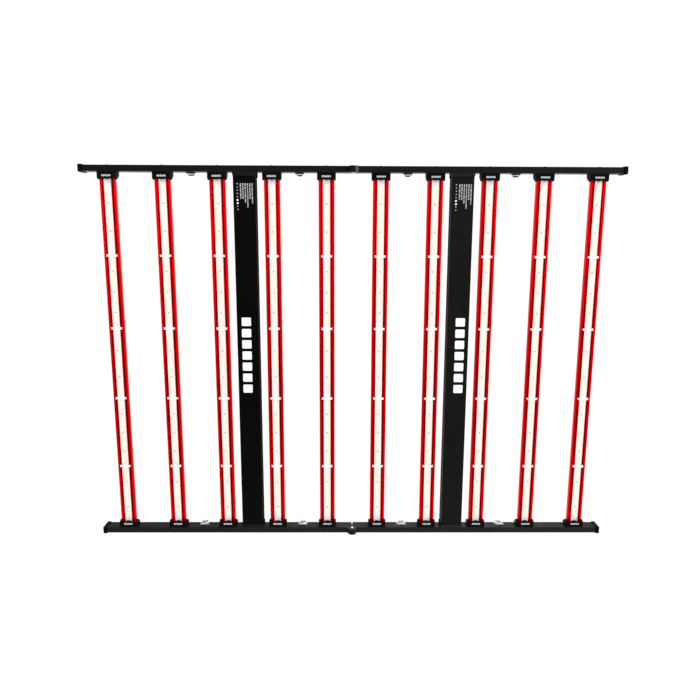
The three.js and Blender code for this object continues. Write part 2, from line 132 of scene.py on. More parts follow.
class Build:
    """Collects faces in millimetres and turns them into one mesh."""

    def __init__(self):
        self.verts, self.faces, self.slots, self.smooth = [], [], [], []

    def add(self, verts, faces, slot=0, smooth=False):
        start = len(self.verts)
        self.verts.extend(verts)
        self.add_faces(start, faces, slot, smooth)
        return start

    def add_faces(self, start, faces, slot, smooth):
        for face in faces:
            self.faces.append([start + i for i in face])
            self.slots.append(slot)
            self.smooth.append(smooth)

    def add_capped(self, verts, count, slot, smooth):
        """Rings of count points joined up, with a flat face at each end."""
        rings = len(verts) // count
        start = self.add(verts, bands(rings, count), slot, smooth)
        ends = [range(count - 1, -1, -1), range((rings - 1) * count, rings * count)]
        self.add_faces(start, ends, slot, False)

    def extrude(self, outline, start, end, axis="y", slot=0, chamfer=0.0):
        """Outline points are (x, z) for axis y, (y, z) for axis x and (x, y) for axis z."""
        count = len(outline)
        mid_a = sum(p[0] for p in outline) / count
        mid_b = sum(p[1] for p in outline) / count
        rings = [(start, 0.0), (end, 0.0)]
        if chamfer:
            rings = [(start, chamfer), (start + chamfer, 0.0), (end - chamfer, 0.0), (end, chamfer)]
        verts = []
        for level, inset in rings:
            for a, b in outline:
                da, db = a - mid_a, b - mid_b
                reach = math.hypot(da, db) or 1.0
                shrink = max(0.0, reach - inset) / reach
                point = [mid_a + da * shrink, mid_b + db * shrink]
                point.insert("xyz".index(axis), level)
                verts.append(point)
        self.add_capped(verts, count, slot, False)

    def lathe(self, profile, centre, axis, count=24, slot=0):
        """Turns a profile of (radius, height along the axis) about the axis."""
        along, across, other = axis_frame(axis)
        origin = Vector(centre)
        verts = []
        for radius, height in profile:
            for i in range(count):
                angle = 2 * math.pi * i / count
                spoke = across * math.cos(angle) + other * math.sin(angle)
                verts.append(origin + along * height + spoke * radius)
        self.add(verts, bands(len(profile), count), slot, True)

    def tube(self, path, radius, count=12, slot=0, closed=False):
        points = [Vector(p) for p in path]
        total = len(points)
        spoke = None
        verts = []
        for i in range(total):
            if closed:
                tangent = points[(i + 1) % total] - points[i - 1]
            else:
                tangent = points[min(i + 1, total - 1)] - points[max(i - 1, 0)]
            tangent = tangent.normalized()
            if spoke is None:
                spoke = tangent.orthogonal().normalized()
            # carry the spoke along the path so that the tube doesn't twist
            spoke = (spoke - tangent * spoke.dot(tangent)).normalized()
            other = tangent.cross(spoke)
            for k in range(count):
                angle = 2 * math.pi * k / count
                turned = spoke * math.cos(angle) + other * math.sin(angle)
                verts.append(points[i] + turned * radius)
        if closed:
            self.add(verts, bands(total, count, closed=True), slot, True)
        else:
            self.add_capped(verts, count, slot, True)

    def screw(self, centre, axis, radius, height, slot=0, drive="cross", turn=0.0, count=20):
        """A domed screw head standing on a face, with a real drive recess."""
        along, across, other = axis_frame(axis)
        across, other = (across * math.cos(turn) + other * math.sin(turn),
                         other * math.cos(turn) - across * math.sin(turn))
        origin = Vector(centre)

        def raised(points, level):
            return [origin + across * x + other * y + along * level for x, y in points]

        dome = [(radius * HEAD_SKIRT, -HEAD_SUNK)]
        dome += [(radius * wide, height * high) for wide, high in HEAD_DOME]
        verts = []
        for ring_radius, level in dome:
            verts += raised(circle(ring_radius, count), level)
        self.add(verts, bands(len(dome), count), slot, True)

        if drive == "cross":
            a, b = radius * CROSS_REACH, radius * CROSS_HALF
            hole = [(a, -b), (a, b), (b, b), (b, a), (-b, a), (-b, b),
                    (-a, b), (-a, -b), (-b, -b), (-b, -a), (b, -a), (b, -b)]
        else:
            hole = circle(radius * HEX_RADIUS, 6)
        rim = circle(radius * HEAD_FLAT, count)
        flat = rim + hole
        top = []
        for tri in tessellate_polygon([[Vector((x, y, 0)) for x, y in rim],
                                       [Vector((x, y, 0)) for x, y in hole]]):
            (x0, y0), (x1, y1), (x2, y2) = [flat[i] for i in tri]
            turns_left = (x1 - x0) * (y2 - y0) - (y1 - y0) * (x2 - x0) > 0
            top.append(tuple(tri) if turns_left else tuple(reversed(tri)))
        self.add(raised(flat, height), top, slot)

        sides = len(hole)
        bottom = height - height * RECESS_DEPTH
        floor_ring = raised([(x * RECESS_TAPER, y * RECESS_TAPER) for x, y in hole], bottom)
        walls = [(i, i + sides, (i + 1) % sides + sides, (i + 1) % sides) for i in range(sides)]
        self.add(raised(hole, height) + floor_ring, walls, slot)
        self.add(floor_ring + raised([(0, 0)], bottom),
                 [(i, (i + 1) % sides, sides) for i in range(sides)], slot)

    def make(self, name, materials, ride, replaces=None, bevel=0.0):
        """Makes the object, hides the CAD part it replaces and parents it to the body it moves with.
        """
        mesh = bpy.data.meshes.new(name)
        mesh.from_pydata([(x * MM, y * MM, z * MM) for x, y, z in self.verts], [], self.faces)
        for key in materials:
            mesh.materials.append(MATERIALS[key])
        mesh.polygons.foreach_set("material_index", self.slots)
        mesh.polygons.foreach_set("use_smooth", self.smooth)
        mesh.update()
        work = bmesh.new()
        work.from_mesh(mesh)
        bmesh.ops.recalc_face_normals(work, faces=work.faces)
        work.to_mesh(mesh)
        work.free()
        made = bpy.data.objects.new(name, mesh)
        scene.collection.objects.link(made)
        if bevel:
            soften(made, bevel, weld=False)
        if replaces:
            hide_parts(replaces)
        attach(made, ride)


def soften(target, width, angle=35, weld=True):
    """Rounds the sharp edges; width in millimetres, angle in degrees."""
    if weld:
        target.modifiers.new("weld", "WELD").merge_threshold = 2e-6
    bevel = target.modifiers.new("edges", "BEVEL")
    bevel.width = width * MM
    bevel.segments = 2
    bevel.limit_method = "ANGLE"
    bevel.angle_limit = math.radians(angle)
    bevel.use_clamp_overlap = True
    bevel.harden_normals = False
    bevel.miter_outer = "MITER_ARC"
    normals = target.modifiers.new("shade", "WEIGHTED_NORMAL")
    normals.keep_sharp = False
    normals.weight = 60


# ------------------------------------------------------------------ shader builder
class Shader:
    """Builds the node tree of a material or world; every value may be a number or a socket."""

    def __init__(self, owner):
        owner.use_nodes = True
        self.owner = owner
        self.tree = owner.node_tree
        self.tree.nodes.clear()

    def feed(self, socket, value):
        if isinstance(value, bpy.types.NodeSocket):
            self.tree.links.new(value, socket)
        else:
            socket.default_value = value

    def node(self, kind, **inputs):
        """Underscores in an input's name stand for spaces; None leaves it alone."""
        made = self.tree.nodes.new("ShaderNode" + kind)
        for name, value in inputs.items():
            if value is not None:
                self.feed(made.inputs[name.replace("_", " ")], value)
        return made

    def coords(self, scale=(1.0, 1.0, 1.0)):
        place = self.node("TexCoord").outputs["Object"]
        return self.node("Mapping", Scale=scale, Vector=place).outputs["Vector"]

    def axes(self, kind="Object"):
        return self.node("SeparateXYZ", Vector=self.node("TexCoord").outputs[kind]).outputs[:]

    def noise(self, place, scale=1.0, detail=3.0, rough=0.55):
        return self.node("TexNoise", Vector=place, Scale=scale, Detail=detail,
                         Roughness=rough).outputs["Fac"]

    def remap(self, value, src, dst=(0.0, 1.0), smooth=False):
        made = self.node("MapRange", Value=value, From_Min=src[0], From_Max=src[1],
                         To_Min=dst[0], To_Max=dst[1])
        if smooth:
            made.interpolation_type = "SMOOTHSTEP"
        return made.outputs["Result"]

    def rise(self, value, src, smooth=True):
        return self.remap(value, src, (0.0, 1.0), smooth)

    def fall(self, value, src, smooth=True):
        return self.remap(value, src, (1.0, 0.0), smooth)

    def window(self, value, up, down, smooth=True):
        """One between the two ranges, nothing outside them."""
        return self.mul(self.rise(value, up, smooth), self.fall(value, down, smooth))

    def calc(self, operation, *values, clamp=False):
        made = self.node("Math")
        made.operation = operation
        made.use_clamp = clamp
        for socket, value in zip(made.inputs, values):
            self.feed(socket, value)
        return made.outputs[0]

    def add(self, a, b, clamp=False):
        return self.calc("ADD", a, b, clamp=clamp)

    def sub(self, a, b):
        return self.calc("SUBTRACT", a, b)

    def mul(self, a, b):
        return self.calc("MULTIPLY", a, b)

    def radius(self, a, b):
        return self.calc("SQRT", self.add(self.mul(a, a), self.mul(b, b)))

    def mix(self, factor, first, second):
        """Blends two colours, each a socket or an RGB tuple."""
        made = self.node("Mix")
        made.data_type = "RGBA"
        self.feed(made.inputs[0], factor)
        # inputs 6 and 7 and output 2 are the colour sockets
        for index, colour in ((6, first), (7, second)):
            self.feed(made.inputs[index], (*colour, 1.0) if isinstance(colour, tuple) else colour)
        return made.outputs[2]

    def bump(self, height, strength, distance, normal=None):
        return self.node("Bump", Height=height, Strength=strength, Distance=distance,
                         Normal=normal).outputs["Normal"]

    def camera_ray(self):
        return self.node("LightPath").outputs["Is Camera Ray"]

    def mix_shader(self, factor, first, second):
        made = self.node("MixShader")
        for socket, value in zip(made.inputs, (factor, first, second)):
            self.feed(socket, value)
        return made.outputs[0]

    def principled(self, **inputs):
        return self.node("BsdfPrincipled", **inputs).outputs["BSDF"]

    def emission(self, strength):
        return self.node("Emission", Strength=strength).outputs["Emission"]

    def material(self, surface):
        self.node("OutputMaterial", Surface=surface)
        return self.owner


def new_shader(name):
    return Shader(bpy.data.materials.new(name))


def tinted(level, tint=(1.0, 1.0, 1.0)):
    return tuple(level * t for t in tint)


# ------------------------------------------------------------------ materials
BAR_PITCH = 0.166    # metres between light bars
PIN_Z = 0.0135       # centre of the painted highlight rings round the hinge pin
CEILING_GLOSS = 0.3  # specular level of faces towards the ceiling or the outer side
FACING = (0.6, 0.9)  # how squarely a face must look along an axis to be picked out


def knuckle_painted_highlight(shade, colour, rough):
    """A painted highlight down the +X side of the near hinge knuckle, in a dull metal grey."""
    x, y, z = shade.axes()
    mask = shade.mul(shade.window(x, up=(0.0046, 0.0064), down=(0.0152, 0.0160)),
                     shade.mul(shade.fall(z, src=(0.0155, 0.0162)),
                               shade.fall(y, src=(-0.560, -0.558))))
    patches = shade.noise(shade.coords((180.0, 260.0, 180.0)), detail=4.0, rough=0.7)
    mask = shade.mul(mask, shade.remap(patches, src=(0.34, 0.58), dst=(0.15, 1.0)))
    # the painted highlight's metal-grey tone, with faint streaks
    turned = shade.noise(shade.coords((40.0, 2600.0, 40.0)), detail=2.0)
    metal = shade.mix(turned, (0.028, 0.027, 0.026), (0.056, 0.054, 0.052))
    highlight_rough = 0.5
    rough = shade.add(shade.mul(rough, shade.sub(1.0, mask)), shade.mul(mask, highlight_rough))
    return shade.mix(mask, colour, metal), rough


def pin_painted_highlight(shade, place, colour):
    """Two painted highlight rings round the hinge pin, where the knuckle edges catch light; the
    inner one fainter.
    """
    x, _, z = shade.axes()
    radius = shade.radius(x, shade.sub(z, PIN_Z))
    outer = shade.window(radius, up=(0.0098, 0.0106), down=(0.0126, 0.0134))
    inner = shade.window(radius, up=(0.0056, 0.0060), down=(0.0070, 0.0076))
    inner_share = 0.6
    rings = shade.add(outer, shade.mul(inner, inner_share), clamp=True)
    patches = shade.noise(place, scale=420.0, detail=4.0, rough=0.7)
    mask = shade.mul(rings, shade.remap(patches, src=(0.35, 0.6), dst=(0.3, 1.0)))
    return shade.mix(mask, colour, (0.050, 0.050, 0.047))


def coated_black(name, dark, light, rough, gloss, peel=1400.0, tint=(1.0, 1.0, 1.0), painted_light=None,
                 inner_gloss=None, hinge_gloss=None, outward=0.0, ends_from=None):
    """Satin powder coat: orange peel, roughness patches, a little dust and handling marks.

    outward is the X direction of the outer side; ends_from is the |y| where end pieces start.
    """
    shade = new_shader(name)
    place = shade.coords()
    cloud = shade.noise(place, scale=26.0, detail=4.0)
    fine = shade.noise(place, scale=peel, detail=3.0, rough=0.6)
    specks = shade.noise(place, scale=310.0, detail=5.0, rough=0.7)
    dust = shade.remap(specks, src=(0.56, 0.74), dst=(0.0, 0.5))
    colour = shade.mix(cloud, tinted(dark, tint), tinted(light, tint))
    colour = shade.mix(dust, colour, tinted(light * 2.6, tint))
    patchy = shade.remap(cloud, src=(0.3, 0.7), dst=(rough - 0.07, rough + 0.09))
    handling = shade.noise(shade.coords((60.0, 9.0, 240.0)), detail=4.0)
    roughness = shade.add(patchy, shade.remap(handling, src=(0.62, 0.78), dst=(0.0, -0.1)))
    normal = shade.bump(fine, strength=0.22, distance=0.00025)
    waves = shade.noise(place, scale=190.0, detail=2.0)
    normal = shade.bump(waves, strength=0.08, distance=0.0008, normal=normal)

    # the face towards the ceiling keeps more of its gloss
    normal_x, normal_y, normal_z = shade.axes("Normal")
    upward = shade.rise(normal_z, src=(0.3, 0.9))
    level = shade.remap(upward, src=(0.0, 1.0), dst=(gloss, CEILING_GLOSS))
    if inner_gloss is not None:
        # the smoother +Y face, which looks in over the bars
        face = shade.rise(normal_y, FACING)
        polish = 0.12
        level = shade.add(level, shade.mul(face, inner_gloss - gloss))
        roughness = shade.sub(roughness, shade.mul(face, polish))
    if hinge_gloss is not None:
        # the side towards the hinge is in deep shade, the outer side picks up the room
        for direction, side_gloss in ((-outward, hinge_gloss), (outward, CEILING_GLOSS)):
            face = shade.rise(shade.mul(normal_x, direction), FACING)
            level = shade.add(level, shade.mul(face, side_gloss - gloss))
    # painted highlight: a metal-grey patch on the near hinge knuckle
    if painted_light == "knuckle":
        colour, roughness = knuckle_painted_highlight(shade, colour, roughness)
    # painted highlight: paler rings round the hinge pin
    if painted_light == "pin":
        colour = pin_painted_highlight(shade, place, colour)
    if ends_from is not None:
        # the end pieces carry the paler coat of the rails
        _, y, _ = shade.axes()
        ends = shade.rise(shade.calc("ABSOLUTE", y), src=(ends_from, ends_from + 0.0004))
        colour = shade.mix(ends, colour, shade.mix(cloud, tinted(0.0030), tinted(0.0052)))
    return shade.material(shade.principled(
        Base_Color=colour, Roughness=roughness, Normal=normal, Specular_IOR_Level=level))


def moulded_black():
    """Glass-filled moulding: spark-eroded texture, faint flow lines, scuffed high spots."""
    dark, light, rough = 0.0009, 0.0020, 0.5
    shade = new_shader("moulded_black")
    place = shade.coords()
    flow = shade.noise(shade.coords((90.0, 14.0, 90.0)), detail=4.0)
    cells = shade.node("TexVoronoi", Vector=place, Scale=2600.0).outputs["Distance"]
    spots = shade.noise(place, scale=520.0, detail=5.0, rough=0.75)
    scuff = shade.remap(spots, src=(0.6, 0.8), dst=(0.0, 0.4))
    base = shade.mix(flow, tinted(dark), tinted(light))
    return shade.material(shade.principled(
        Base_Color=shade.mix(scuff, base, tinted(light * 2.4)),
        Roughness=shade.remap(flow, src=(0.3, 0.7), dst=(rough - 0.06, rough + 0.08)),
        Normal=shade.bump(cells, strength=0.18, distance=0.00015),
        Specular_IOR_Level=0.045))


def anodised_red():
    """Extruded and dyed aluminium: die lines along Y, matt etch, slight dye clouding."""
    deep, clear, rough = (0.78, 0.0, 0.0010), (0.96, 0.0004, 0.0026), 0.30
    shade = new_shader("heat_sink_red_anodised")
    die = shade.noise(shade.coords((2400.0, 1.6, 2400.0)), detail=3.0, rough=0.65)
    broad = shade.noise(shade.coords((420.0, 0.8, 420.0)), detail=2.0)
    etch = shade.noise(shade.coords(), scale=3800.0, detail=2.0)
    cloud = shade.noise(shade.coords(), scale=9.0, detail=3.0)
    die_share, broad_share = 0.6, 0.4
    lines = shade.add(shade.mul(die, die_share), shade.mul(broad, broad_share))
    colour = shade.mix(shade.remap(lines, src=(0.3, 0.7)), deep, clear)
    clouding = shade.remap(cloud, src=(0.35, 0.7), dst=(0.0, 0.16))
    colour = shade.mix(clouding, colour, tuple(c * 0.8 for c in deep))
    # painted shade in the clip grooves, found by distance from the middle of each bar
    x, _, z = shade.axes()
    keep_positive, groove_shade = 20.0, 0.62
    bars = shade.add(shade.calc("DIVIDE", x, BAR_PITCH), keep_positive)
    from_mid = shade.mul(shade.sub(shade.calc("FRACT", bars), 0.5), BAR_PITCH)
    groove = shade.window(shade.calc("ABSOLUTE", from_mid), up=(0.01322, 0.01332),
                          down=(0.01718, 0.01728), smooth=False)
    groove = shade.mul(groove, shade.remap(z, src=(0.0259, 0.0272)))
    colour = shade.mix(shade.mul(groove, groove_shade), colour, (0.16, 0.0, 0.0006))
    normal = shade.bump(die, strength=0.28, distance=0.00012)
    return shade.material(shade.principled(
        Base_Color=colour,
        Roughness=shade.remap(lines, src=(0.25, 0.75), dst=(rough - 0.06, rough + 0.1)),
        Normal=shade.bump(etch, strength=0.1, distance=0.00006, normal=normal),
        Metallic=0.80, Specular_IOR_Level=0.06))


def solder_mask():
    """White solder mask over copper: pours and tracks show as faint relief and tone."""
    shade = new_shader("board_white_solder_mask")
    x, y, _ = shade.axes()
    bars = shade.calc("FRACT", shade.calc("DIVIDE", x, BAR_PITCH))
    # millimetres from the middle of the bar
    side = shade.calc("ABSOLUTE", shade.mul(shade.sub(bars, 0.5), BAR_PITCH / MM))
    inner_gap = shade.window(side, up=(1.7, 1.9), down=(2.2, 2.4))
    outer_gap = shade.window(side, up=(7.2, 7.4), down=(7.7, 7.9))
    # short cross gaps repeat along the board
    tick_pitch, keep_positive = 0.036, 40.0
    along = shade.add(shade.calc("DIVIDE", y, tick_pitch), keep_positive)
    tick = shade.mul(shade.fall(shade.calc("FRACT", along), src=(0.02, 0.03)),
                     shade.remap(side, src=(2.4, 7.2), dst=(1.0, 1.0)))
    tick = shade.mul(tick, shade.fall(side, src=(7.0, 7.4)))
    track = shade.add(shade.add(inner_gap, outer_gap), tick, clamp=True)
    place = shade.coords()
    cloud = shade.noise(place, scale=60.0, detail=4.0)
    track_tone = 0.6
    colour = shade.mix(cloud, (0.795, 0.79, 0.735), (0.865, 0.86, 0.80))
    colour = shade.mix(shade.mul(track, track_tone), colour, (0.65, 0.67, 0.61))
    specks = shade.noise(place, scale=1500.0, detail=2.0)
    speck = shade.remap(specks, src=(0.74, 0.8), dst=(0.0, 0.5))
    normal = shade.bump(shade.sub(1.0, track), strength=0.5, distance=0.00004)
    grain = shade.noise(place, scale=1300.0, detail=2.0)
    return shade.material(shade.principled(
        Base_Color=shade.mix(speck, colour, (0.55, 0.55, 0.52)),
        Roughness=shade.remap(cloud, src=(0.3, 0.7), dst=(0.34, 0.5)),
        Normal=shade.bump(grain, strength=0.06, distance=0.0001, normal=normal)))


def plain(name, tones, rough, spec=0.5, metal=0.0, scale=700.0, strength=0.12, distance=0.0001,
          coat=0.0, stretch=(1.0, 1.0, 1.0)):
    """General finish: drifts between two tones, with varied roughness and fine relief."""
    shade = new_shader(name)
    place = shade.coords(stretch)
    fine = shade.noise(place, scale=scale, detail=4.0, rough=0.6)
    broad = shade.noise(place, scale=scale * 0.08, detail=3.0)
    share, spread = 0.5, 0.06
    blend = shade.add(shade.mul(fine, share), shade.mul(broad, share))
    return shade.material(shade.principled(
        Base_Color=shade.mix(broad, *tones),
        Roughness=shade.remap(blend, src=(0.3, 0.7), dst=(rough - spread, rough + spread)),
        Normal=shade.bump(fine, strength=strength, distance=distance),
        Specular_IOR_Level=spec, Metallic=metal, Coat_Weight=coat))


HOUSING = dict(rough=0.44, peel=1100.0, tint=(1.0, 1.0, 0.8), ends_from=0.5622)
MATERIALS = {
    # the near rails' coat is darker than the far rails' as painted shade
    "rail": coated_black("rail_powder_black", dark=0.0032, light=0.0060, rough=0.46, gloss=0.07,
                         painted_light="pin"),
    "rail_near": coated_black("rail_powder_black_near_shaded", dark=0.0020, light=0.0036, rough=0.46,
                              gloss=0.045, painted_light="knuckle", inner_gloss=0.42),
    # one coat in two copies: the right one lighter and glossier as painted light, the left one
    # darker as painted shade
    "housing_left": coated_black("housing_powder_black_shaded_left", dark=0.0003, light=0.0006,
                                 gloss=0.040, hinge_gloss=0.004, outward=-1.0, **HOUSING),
    "housing_right": coated_black("housing_powder_black_lit_right", dark=0.0009, light=0.0016,
                                  gloss=0.10, hinge_gloss=0.02, outward=1.0, **HOUSING),
    "plastic": moulded_black(),
    "red": anodised_red(),
    "board": solder_mask(),
    "led_body": plain("led_body_white", tones=((0.815, 0.80, 0.75), (0.895, 0.88, 0.83)),
                      rough=0.45, scale=2500.0),
    "phosphor": plain("led_phosphor", tones=((0.88, 0.60, 0.16), (0.93, 0.70, 0.24)),
                      rough=0.30, spec=0.4, scale=5200.0, strength=0.3, coat=0.25),
    "clip": plain("clip_white_nylon", tones=((0.80, 0.81, 0.80), (0.90, 0.91, 0.90)),
                  rough=0.42, scale=900.0, strength=0.2),
    "nickel": plain("screw_nickel", tones=((0.24, 0.24, 0.25), (0.36, 0.36, 0.37)),
                    rough=0.34, metal=1.0, scale=1800.0, strength=0.2, distance=0.00006),
    "dark_screw_and_saddle_shade": plain("screw_black_oxide_and_saddle_shade", tones=((0.010, 0.010, 0.011), (0.022, 0.022, 0.024)),
                        rough=0.38, spec=0.4, metal=0.6, scale=1500.0, strength=0.2),
    "bright": plain("ring_steel_bright", tones=((0.74, 0.72, 0.67), (0.86, 0.84, 0.79)),
                    rough=0.24, metal=1.0, scale=1300.0, strength=0.25, distance=0.00008),
    "zinc": plain("saddle_bright_zinc", tones=((0.36, 0.35, 0.33), (0.62, 0.60, 0.56)),
                  rough=0.40, metal=0.6, scale=500.0, strength=0.3),
    "print": plain("print_white_ink", tones=(tinted(0.84), tinted(0.92)),
                   rough=0.55, spec=0.3, scale=1600.0, strength=0.25),
    "mark": plain("socket_mark_ink", tones=((0.34, 0.35, 0.36), (0.62, 0.63, 0.64)),
                  rough=0.6, spec=0.3, scale=2600.0, strength=0.25),
    "print_grey": plain("print_grey_ink", tones=((0.36, 0.34, 0.34), (0.46, 0.44, 0.44)),
                        rough=0.6, spec=0.3, scale=1600.0, strength=0.25),
    "case": plain("driver_case_aluminium", tones=((0.42, 0.43, 0.43), (0.54, 0.55, 0.55)),
                  rough=0.36, metal=0.9, scale=900.0, strength=0.25, stretch=(1.0, 0.03, 1.0)),
    "rubber": plain("cable_rubber", tones=(tinted(0.006), tinted(0.013)),
                    rough=0.62, spec=0.3, scale=1200.0, strength=0.35),
    "seam": plain("housing_joint_sealant", tones=(tinted(0.0001), tinted(0.0004)),
                  rough=0.8, spec=0.0, scale=1200.0, strength=0.35),
    "wire": plain("wire_white_insulation", tones=((0.60, 0.60, 0.58), (0.72, 0.72, 0.70)),
                  rough=0.42, scale=900.0),
    "pale": plain("connector_nylon", tones=((0.62, 0.64, 0.62), (0.72, 0.74, 0.72)),
                  rough=0.42, scale=900.0, strength=0.2),
}


# ------------------------------------------------------------------ frame measures, millimetres
def extents(name):
    low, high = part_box(name)
    return low / MM, high / MM


def centre(name):
    low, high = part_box(name)
    return (low + high) / 2 / MM


socket_low, socket_high = extents("socket_far_01")
board_low, board_high = extents("led_board_01")
housing_low, housing_high = extents("driver_housing_left")
SOCKET_FRONT = socket_low.z
SOCKET_OUT = socket_high.y
SOCKET_IN = socket_low.y + 2.0
RAIL_INNER = SOCKET_OUT + 0.3
RAIL_OUTER = extents("end_cap_far_right")[1].y - 2.2
RAIL_FRONT = SOCKET_FRONT - 0.6
RAIL_BACK = extents("rail_far_right")[1].z
RAIL_MID = (RAIL_FRONT + RAIL_BACK) / 2
BOARD = board_low.z + 2.3  # front face of the boards
BOARD_END = board_high.y
HOUSING_FRONT, HOUSING_BACK = housing_low.z, housing_high.z
BAR_X = [centre(f"heat_sink_{i + 1:02d}").x for i in range(10)]
HOUSING_X = {side: centre(f"led_driver_{side}").x for side in ("left", "right")}
HINGE_Z = [j for j in frame["joints"] if j["name"] == "fold"][0]["pos_m"][2] / MM
RAILS = (("near", -1), ("far", 1))  # name, outward direction along Y
SIDES = (("left", -1), ("right", 1))  # name, outward direction along X


def half_of(x):
    return "left_half" if x < 0 else "right_half"


def bars_on(side):
    return [x for x in BAR_X if (x < 0) == (side == "left")]


# ------------------------------------------------------------------ CAD pieces that are shown
def dress(name, material, bevel, angle=35):
    piece = nodes[name]
    for i in range(len(piece.data.materials)):
        piece.data.materials[i] = MATERIALS[material]
    soften(piece, bevel, angle)


for side, _ in SIDES:
    dress(f"rail_near_{side}", "rail_near", 0.45)
    dress(f"rail_far_{side}", "rail", 0.45)
    dress(f"end_cap_near_{side}", "plastic", 0.5)
    dress(f"end_cap_far_{side}", "plastic", 0.5)
    dress(f"driver_housing_{side}", f"housing_{side}", 0.6)
    dress(f"led_driver_{side}", "case", 0.8)
for number in range(1, 11):
    dress(f"heat_sink_{number:02d}", "red", 0.3, angle=30)
    dress(f"socket_far_{number:02d}", "plastic", 0.45)
    dress(f"socket_near_{number:02d}", "plastic", 0.45)


# ------------------------------------------------------------------ light bars
# Outlines are (x from the middle of the bar, z from the board's front face)
BOARD_OUTLINE = [(-10.5, 0.15), (-10.35, 0), (10.35, 0), (10.5, 0.15), (10.5, 1.6), (-10.5, 1.6)]
CLIP_HALF = [(0, -2.2), (9.6, -2.2), (10.8, -2.5), (15.5, -2.5), (16.6, -1.6), (16.7, 6.2),
             (16.3, 7.0), (14.7, 7.0), (14.0, 6.2), (13.8, -0.7), (10.1, -0.75), (9.7, -0.05),
             (0, -0.05)]
CLIP_PAD = [(-8.4, -2.9), (8.4, -2.9), (8.9, -2.3), (8.9, -0.05), (-8.9, -0.05), (-8.9, -2.3)]
CLIP_HALF_LENGTH, PAD_HALF_LENGTH = 3.4, 5.5
LED_ROWS = (-4.6, 4.6)  # x
LED_PITCH = 6.0
LED_END_MARGIN = 22
LED_CLIP_CLEARANCE = 7.4
LED_HALF, LENS_HALF = 1.5, 1.12
# half width, height in front of the board: body foot, body top, lens rim, lens
LED_RINGS = ((LED_HALF, 0.04), (LED_HALF * 0.97, 0.68), (LENS_HALF, 0.68), (LENS_HALF * 0.93, 0.52))
CLIP_Y = (-323.0, -95.5, 132.0, 362.0)
SCREW_Y = (-481, -397, -275.5, -210, -146.5, -24, 61, 185, 247.5, 311, 417, 505.5)
SCREW_RADIUS, SCREW_HEIGHT = 1.9, 1.05
PLUG_START = -SOCKET_IN + 4.2  # near end of the lead connector
PLUG_HALF, PLUG_LENGTH, PLUG_HEIGHT = 4.2, 7.2, 2.4
WIRE_X, WIRE_RADIUS = 1.5, 0.5
# share of WIRE_X, y from the connector, z from the board
WIRE_PATH = ((1.0, 0.3, -1.15), (1.0, -1.6, -1.1), (0.9, -3.4, -0.72), (0.8, -8.0, -0.6))


def led_strip(number, x):
    strip = Build()
    strip.extrude(shifted(BOARD_OUTLINE, x, BOARD), -BOARD_END, BOARD_END)
    count = int((BOARD_END - LED_END_MARGIN) // LED_PITCH)
    for row in LED_ROWS:
        led_x = x + row
        for k in range(-count, count + 1):
            y = k * LED_PITCH
            if any(abs(y - clip) < LED_CLIP_CLEARANCE for clip in CLIP_Y):
                continue
            verts = []
            for half, height in LED_RINGS:
                z = BOARD - height
                verts += [(led_x - half, y - half, z), (led_x + half, y - half, z),
                          (led_x + half, y + half, z), (led_x - half, y + half, z)]
            strip.add(verts, bands(4, 4), 1)
            strip.add(verts[-4:], [(0, 1, 2, 3)], 2)
    strip.make(f"led_strip_{number:02d}", ["board", "led_body", "phosphor"],
               half_of(x), replaces=f"led_board_{number:02d}")


def board_clips(number, x):
    """Clips across the board that hook into the heat sink, each with a wider pad."""
    clips = Build()
    outline = CLIP_HALF + [(-dx, dz) for dx, dz in reversed(CLIP_HALF) if dx > 0]
    for y in CLIP_Y:
        clips.extrude(shifted(outline, x, BOARD), y - CLIP_HALF_LENGTH, y + CLIP_HALF_LENGTH)
        clips.extrude(shifted(CLIP_PAD, x, BOARD), y - PAD_HALF_LENGTH, y + PAD_HALF_LENGTH)
    clips.make(f"board_clips_{number:02d}", ["clip"], half_of(x), bevel=0.35)


def board_fixings(number, x):
    """Board screws, and the lead connector with two wires at the near end."""
    parts = Build()
    for k, y in enumerate(SCREW_Y):
        parts.screw((x, y, BOARD), (0, 0, -1), SCREW_RADIUS, SCREW_HEIGHT,
                    turn=0.4 + 1.3 * k + number, count=18)
    body = rounded(x - PLUG_HALF, x + PLUG_HALF, PLUG_START, PLUG_START + PLUG_LENGTH, 0.5, 2)
    parts.extrude(body, BOARD - PLUG_HEIGHT, BOARD, "z", 1, chamfer=0.25)
    lip = rounded(x - 3.4, x + 3.4, PLUG_START - 0.9, PLUG_START + 0.3, 0.2, 1)
    parts.extrude(lip, BOARD - 1.9, BOARD - 0.4, "z", 1)
    for wire_x in (-WIRE_X, WIRE_X):
        parts.tube([(x + wire_x * share, PLUG_START + dy, BOARD + dz)
                    for share, dy, dz in WIRE_PATH], WIRE_RADIUS, 8, 2)
    parts.make(f"board_fixings_{number:02d}", ["nickel", "pale", "wire"],
               half_of(x))


for number, x in enumerate(BAR_X, start=1):
    led_strip(number, x)
    board_clips(number, x)
    board_fixings(number, x)

# ------------------------------------------------------------------ socket marks and rail screws
MARK_COUNT, MARK_PITCH = 6, 4.7
MARK_INSET = 11.75  # from the socket's outer face
MARK_HALF_X, MARK_HALF_Y = 1.85, 2.7
BAR_SCREW_Z = 9.5  # either side of the rail's middle
BRACKET_SCREW_X, BRACKET_SCREW_Z = 22, 5


def socket_marks(rail, outward, side):
    """A row of equal plain blocks in each socket recess."""
    marks = Build()
    y = outward * (SOCKET_OUT - MARK_INSET)
    z = SOCKET_FRONT + 0.5
    for bar_x in bars_on(side):
        for k in range(MARK_COUNT):
            x = bar_x - (MARK_COUNT - 1) / 2 * MARK_PITCH + MARK_PITCH * k
            block = rounded(x - MARK_HALF_X, x + MARK_HALF_X, y - MARK_HALF_Y, y + MARK_HALF_Y,
                            0.5, 2)
            marks.extrude(block, z - 0.16, z + 0.05, "z")
    marks.make(f"socket_marks_{rail}_{side}", ["mark"], f"{side}_half")


